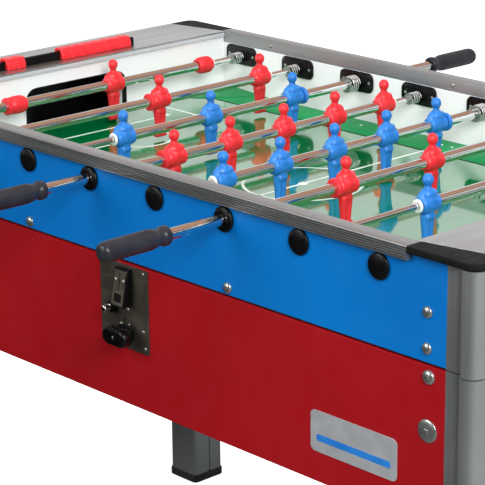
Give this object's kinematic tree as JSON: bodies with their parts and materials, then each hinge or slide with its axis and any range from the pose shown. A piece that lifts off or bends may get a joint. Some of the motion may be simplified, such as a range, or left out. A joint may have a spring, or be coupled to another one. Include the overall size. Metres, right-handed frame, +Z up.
{
  "type": "foosball table",
  "caption": "Foosball table on square legs with telescopic rods of moulded men, bead score counters, corner caps and a coin-operated ball release.",
  "frame": {"origin": "floor level, under the centre of the whole footprint with the handles at rest; the cabinet's own centre is 66 mm towards -Y", "axes": "+X along the table from the red team's goal to the blue team's, +Y across it to the blue team's handles, +Z up"},
  "size_m": [1.404, 1.3436, 0.9515],
  "materials": {
    "blue_laminate": "high-pressure laminate on board, satin",
    "red_laminate": "high-pressure laminate on board, satin",
    "white_laminate": "white laminate, satin",
    "field_glass": "tempered glass printed green underneath",
    "anodised_aluminium": "anodised, satin",
    "leg_aluminium": "anodised, satin",
    "steel_plate": "brushed, dull",
    "sheet_steel": "painted light grey",
    "black_plastic": "moulded, matte",
    "black_rubber": "moulded rubber",
    "chrome": "bright chrome plate",
    "zinc_screw": "zinc plated",
    "red_plastic": "moulded, semi-gloss",
    "blue_plastic": "moulded, semi-gloss",
    "white_plastic": "moulded nylon"
  },
  "bodies": {
    "root": {"side_front": "blue_laminate", "side_back": "blue_laminate", "end_left": "blue_laminate", "end_right": "blue_laminate", "playfield": "field_glass", "base_cabinet": "red_laminate", "rail_front": "anodised_aluminium", "rail_back": "anodised_aluminium", "end_plate_left": "anodised_aluminium", "end_plate_right": "anodised_aluminium", "leg_front_left": "leg_aluminium", "leg_front_right": "leg_aluminium", "leg_back_left": "leg_aluminium", "leg_back_right": "leg_aluminium", "coin_plate": "steel_plate", "ball_channel": "sheet_steel"},
    "coin_knob": {"coin_knob": "black_plastic"},
    "coin_return_button": {"coin_return_button": "chrome"},
    "beads_left_waiting": {"score_beads_left_waiting": "red_plastic"},
    "beads_left_scored": {"score_beads_left_scored": "red_plastic"},
    "beads_right_waiting": {"score_beads_right_waiting": "red_plastic"},
    "beads_right_scored": {"score_beads_right_scored": "red_plastic"},
    "red_keeper_rod": {"red_keeper_tube": "chrome"},
    "red_keeper_men": {"red_keeper_handle": "black_plastic", "red_keeper_man_1": "red_plastic"},
    "red_defence_rod": {"red_defence_tube": "chrome"},
    "red_defence_men": {"red_defence_handle": "black_plastic", "red_defence_man_1": "red_plastic", "red_defence_man_2": "red_plastic"},
    "blue_attack_rod": {"blue_attack_tube": "chrome"},
    "blue_attack_men": {"blue_attack_handle": "black_plastic", "blue_attack_man_1": "blue_plastic", "blue_attack_man_2": "blue_plastic", "blue_attack_man_3": "blue_plastic"},
    "red_midfield_rod": {"red_midfield_tube": "chrome"},
    "red_midfield_men": {"red_midfield_handle": "black_plastic", "red_midfield_man_1": "red_plastic", "red_midfield_man_2": "red_plastic", "red_midfield_man_3": "red_plastic", "red_midfield_man_4": "red_plastic", "red_midfield_man_5": "red_plastic"},
    "blue_midfield_rod": {"blue_midfield_tube": "chrome"},
    "blue_midfield_men": {"blue_midfield_handle": "black_plastic", "blue_midfield_man_1": "blue_plastic", "blue_midfield_man_2": "blue_plastic", "blue_midfield_man_3": "blue_plastic", "blue_midfield_man_4": "blue_plastic", "blue_midfield_man_5": "blue_plastic"},
    "red_attack_rod": {"red_attack_tube": "chrome"},
    "red_attack_men": {"red_attack_handle": "black_plastic", "red_attack_man_1": "red_plastic", "red_attack_man_2": "red_plastic", "red_attack_man_3": "red_plastic"},
    "blue_defence_rod": {"blue_defence_tube": "chrome"},
    "blue_defence_men": {"blue_defence_handle": "black_plastic", "blue_defence_man_1": "blue_plastic", "blue_defence_man_2": "blue_plastic"},
    "blue_keeper_rod": {"blue_keeper_tube": "chrome"},
    "blue_keeper_men": {"blue_keeper_handle": "black_plastic", "blue_keeper_man_1": "blue_plastic"}
  },
  "joints": [
    {"name": "coin_knob_pull", "type": "slide", "parent": "root", "child": "coin_knob", "axis": [0, -1, 0], "range_m": [0, 0.03], "stiffness_N_per_m": 250},
    {"name": "coin_return_push", "type": "slide", "parent": "root", "child": "coin_return_button", "axis": [0, 1, 0], "range_m": [0, 0.006], "stiffness_N_per_m": 400},
    {"name": "beads_left_waiting_slide", "type": "slide", "parent": "root", "child": "beads_left_waiting", "axis": [0, 1, 0], "range_m": [-0.0815, 0.012]},
    {"name": "beads_left_scored_slide", "type": "slide", "parent": "root", "child": "beads_left_scored", "axis": [0, 1, 0], "range_m": [-0.02, 0.0815]},
    {"name": "beads_right_waiting_slide", "type": "slide", "parent": "root", "child": "beads_right_waiting", "axis": [0, 1, 0], "range_m": [-0.012, 0.0815]},
    {"name": "beads_right_scored_slide", "type": "slide", "parent": "root", "child": "beads_right_scored", "axis": [0, 1, 0], "range_m": [-0.0815, 0.02]},
    {"name": "red_keeper_slide", "type": "slide", "parent": "root", "child": "red_keeper_rod", "axis": [0, 1, 0], "range_m": [-0.133, 0.046]},
    {"name": "red_keeper_spin", "type": "hinge", "parent": "red_keeper_rod", "child": "red_keeper_men", "pos_m": [-0.525, -0.06575, 0.89], "axis": [0, 1, 0], "range_deg": [-220, 84.5]},
    {"name": "red_defence_slide", "type": "slide", "parent": "root", "child": "red_defence_rod", "axis": [0, 1, 0], "range_m": [-0.3255, 0.0425]},
    {"name": "red_defence_spin", "type": "hinge", "parent": "red_defence_rod", "child": "red_defence_men", "pos_m": [-0.375, -0.06575, 0.89], "axis": [0, 1, 0], "continuous": true},
    {"name": "blue_attack_slide", "type": "slide", "parent": "root", "child": "blue_attack_rod", "axis": [0, 1, 0], "range_m": [-0.119, 0.106]},
    {"name": "blue_attack_spin", "type": "hinge", "parent": "blue_attack_rod", "child": "blue_attack_men", "pos_m": [-0.225, -0.06575, 0.89], "axis": [0, 1, 0], "continuous": true},
    {"name": "red_midfield_slide", "type": "slide", "parent": "root", "child": "red_midfield_rod", "axis": [0, 1, 0], "range_m": [-0.095, 0.036]},
    {"name": "red_midfield_spin", "type": "hinge", "parent": "red_midfield_rod", "child": "red_midfield_men", "pos_m": [-0.075, -0.06575, 0.89], "axis": [0, 1, 0], "continuous": true},
    {"name": "blue_midfield_slide", "type": "slide", "parent": "root", "child": "blue_midfield_rod", "axis": [0, 1, 0], "range_m": [-0.062, 0.069]},
    {"name": "blue_midfield_spin", "type": "hinge", "parent": "blue_midfield_rod", "child": "blue_midfield_men", "pos_m": [0.075, -0.06575, 0.89], "axis": [0, 1, 0], "continuous": true},
    {"name": "red_attack_slide", "type": "slide", "parent": "root", "child": "red_attack_rod", "axis": [0, 1, 0], "range_m": [-0.17, 0.055]},
    {"name": "red_attack_spin", "type": "hinge", "parent": "red_attack_rod", "child": "red_attack_men", "pos_m": [0.225, -0.06575, 0.89], "axis": [0, 1, 0], "continuous": true},
    {"name": "blue_defence_slide", "type": "slide", "parent": "root", "child": "blue_defence_rod", "axis": [0, 1, 0], "range_m": [-0.1865, 0.1815]},
    {"name": "blue_defence_spin", "type": "hinge", "parent": "blue_defence_rod", "child": "blue_defence_men", "pos_m": [0.375, -0.06575, 0.89], "axis": [0, 1, 0], "continuous": true},
    {"name": "blue_keeper_slide", "type": "slide", "parent": "root", "child": "blue_keeper_rod", "axis": [0, 1, 0], "range_m": [-0.09, 0.089]},
    {"name": "blue_keeper_spin", "type": "hinge", "parent": "blue_keeper_rod", "child": "blue_keeper_men", "pos_m": [0.525, -0.06575, 0.89], "axis": [0, 1, 0], "range_deg": [-84.5, 220]}
  ]
}
